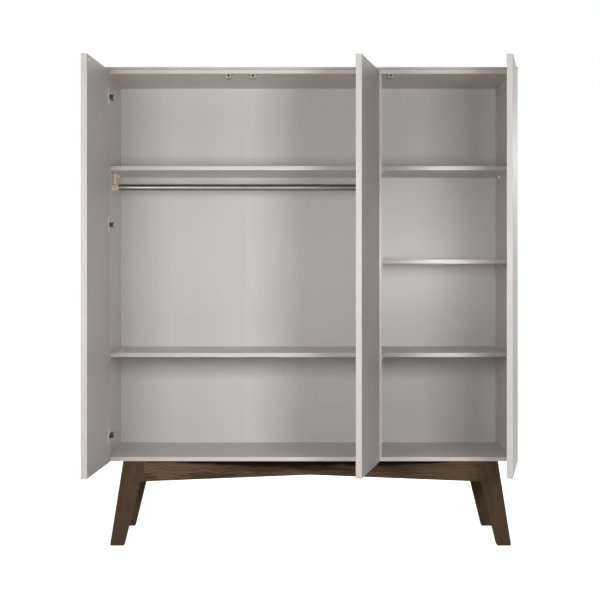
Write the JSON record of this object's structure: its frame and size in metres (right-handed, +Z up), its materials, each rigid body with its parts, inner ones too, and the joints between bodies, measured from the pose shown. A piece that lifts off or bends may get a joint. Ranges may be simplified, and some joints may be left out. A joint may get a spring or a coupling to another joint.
{
  "type": "wardrobe",
  "caption": "Tall wardrobe with flat hinged doors standing open, shelves and a hanging rail in a pale lacquered carcass, on a splayed dark-stained timber base.",
  "frame": {"origin": "on the floor, under the middle of the carcass", "axes": "+Z up, -Y out of the doors towards the user, +X to the right of someone who faces the doors"},
  "size_m": [1.6243, 1.0999, 1.849],
  "materials": {
    "carcass_lacquer": "satin lacquer on board",
    "cap_lacquer": "satin lacquer on board",
    "door_lacquer": "satin lacquer on board",
    "back_sheet": "finely textured lacquer on thin board",
    "strip_plastic": "matt moulding",
    "stained_timber": "dark stained open-grain timber",
    "dowel_wood": "bare beech",
    "chrome": "polished chrome",
    "nickel": "nickel plate",
    "zinc": "dull zinc plate",
    "dark_steel": "dark plated steel",
    "ivory_plastic": "ivory moulding",
    "pin_plastic": "white moulding",
    "latch_plastic": "pale moulding",
    "dark_plastic": "dark moulding",
    "glide_plastic": "brown nylon"
  },
  "bodies": {
    "carcass": {"side_panel_left": "carcass_lacquer", "side_panel_right": "carcass_lacquer", "divider_panel": "carcass_lacquer", "top_panel": "carcass_lacquer", "bottom_panel": "carcass_lacquer", "top_cap": "cap_lacquer", "back_sheet_left": "back_sheet", "back_sheet_middle": "back_sheet", "back_sheet_right": "back_sheet", "back_joint_strip": "strip_plastic", "wide_shelf_lower": "carcass_lacquer", "wide_shelf_upper": "carcass_lacquer", "narrow_shelf_lower": "carcass_lacquer", "narrow_shelf_middle": "carcass_lacquer", "narrow_shelf_upper": "carcass_lacquer", "shelf_pins": "pin_plastic", "cam_discs": "zinc", "cam_bolts": "zinc", "carcass_screws": "zinc", "dowels": "dowel_wood", "hanging_rail": "chrome", "rail_bracket_left": "ivory_plastic", "rail_bracket_right": "ivory_plastic", "rail_screws": "dark_steel", "leg_front_left": "stained_timber", "leg_front_right": "stained_timber", "front_apron": "stained_timber", "leg_rear_left": "stained_timber", "leg_rear_right": "stained_timber", "rear_apron": "stained_timber", "side_rail_left": "stained_timber", "side_rail_right": "stained_timber", "foot_glides": "glide_plastic", "base_brackets": "zinc", "base_screws": "zinc", "hinge_plates": "nickel", "hinge_arms": "nickel", "hinge_screws": "nickel", "latch_housings": "latch_plastic", "latch_screws": "dark_steel"},
    "door_left": {"door_left": "door_lacquer", "hinge_cups_left": "nickel", "cup_screws_left": "nickel", "strike_plate_left": "nickel"},
    "door_middle": {"door_middle": "door_lacquer", "hinge_cups_middle": "nickel", "cup_screws_middle": "nickel", "strike_plate_middle": "nickel"},
    "door_right": {"door_right": "door_lacquer", "hinge_cups_right": "nickel", "cup_screws_right": "nickel", "strike_plate_right": "nickel"},
    "hinge_links_left": {"hinge_links_left": "nickel"},
    "hinge_links_middle": {"hinge_links_middle": "nickel"},
    "hinge_links_right": {"hinge_links_right": "nickel"},
    "latch_plunger_left": {"latch_plunger_left": "dark_plastic"},
    "latch_plunger_middle": {"latch_plunger_middle": "dark_plastic"},
    "latch_plunger_right": {"latch_plunger_right": "dark_plastic"}
  },
  "joints": [
    {"name": "door_left_hinge", "type": "hinge", "parent": "carcass", "child": "door_left", "pos_m": [-0.79, -0.298, 1.083], "axis": [0, 0, -1], "range_deg": [-93, 2]},
    {"name": "door_middle_hinge", "type": "hinge", "parent": "carcass", "child": "door_middle", "pos_m": [0.25667, -0.298, 1.083], "axis": [0, 0, 1], "range_deg": [-79.9, 15.1]},
    {"name": "door_right_hinge", "type": "hinge", "parent": "carcass", "child": "door_right", "pos_m": [0.79, -0.298, 1.083], "axis": [0, 0, 1], "range_deg": [-80.2, 14.8]},
    {"name": "hinge_links_left_turn", "type": "hinge", "parent": "carcass", "child": "hinge_links_left", "pos_m": [-0.79, -0.298, 1.083], "axis": [0, 0, -1], "range_deg": [-51.25, 1.2]},
    {"name": "hinge_links_middle_turn", "type": "hinge", "parent": "carcass", "child": "hinge_links_middle", "pos_m": [0.25667, -0.298, 1.083], "axis": [0, 0, 1], "range_deg": [-44.05, 8.4]},
    {"name": "hinge_links_right_turn", "type": "hinge", "parent": "carcass", "child": "hinge_links_right", "pos_m": [0.79, -0.298, 1.083], "axis": [0, 0, 1], "range_deg": [-44.21, 8.24]},
    {"name": "latch_plunger_left_slide", "type": "slide", "parent": "carcass", "child": "latch_plunger_left", "axis": [0, 1, 0], "range_m": [0, 0.002], "stiffness_N_per_m": 200, "springref_m": -0.004},
    {"name": "latch_plunger_middle_slide", "type": "slide", "parent": "carcass", "child": "latch_plunger_middle", "axis": [0, 1, 0], "range_m": [0, 0.002], "stiffness_N_per_m": 200, "springref_m": -0.004},
    {"name": "latch_plunger_right_slide", "type": "slide", "parent": "carcass", "child": "latch_plunger_right", "axis": [0, 1, 0], "range_m": [0, 0.002], "stiffness_N_per_m": 200, "springref_m": -0.004}
  ],
  "couplings": [
    {"joint": "hinge_links_left_turn", "follows": "door_left_hinge", "ratio": 0.55},
    {"joint": "hinge_links_middle_turn", "follows": "door_middle_hinge", "ratio": 0.55},
    {"joint": "hinge_links_right_turn", "follows": "door_right_hinge", "ratio": 0.55}
  ]
}
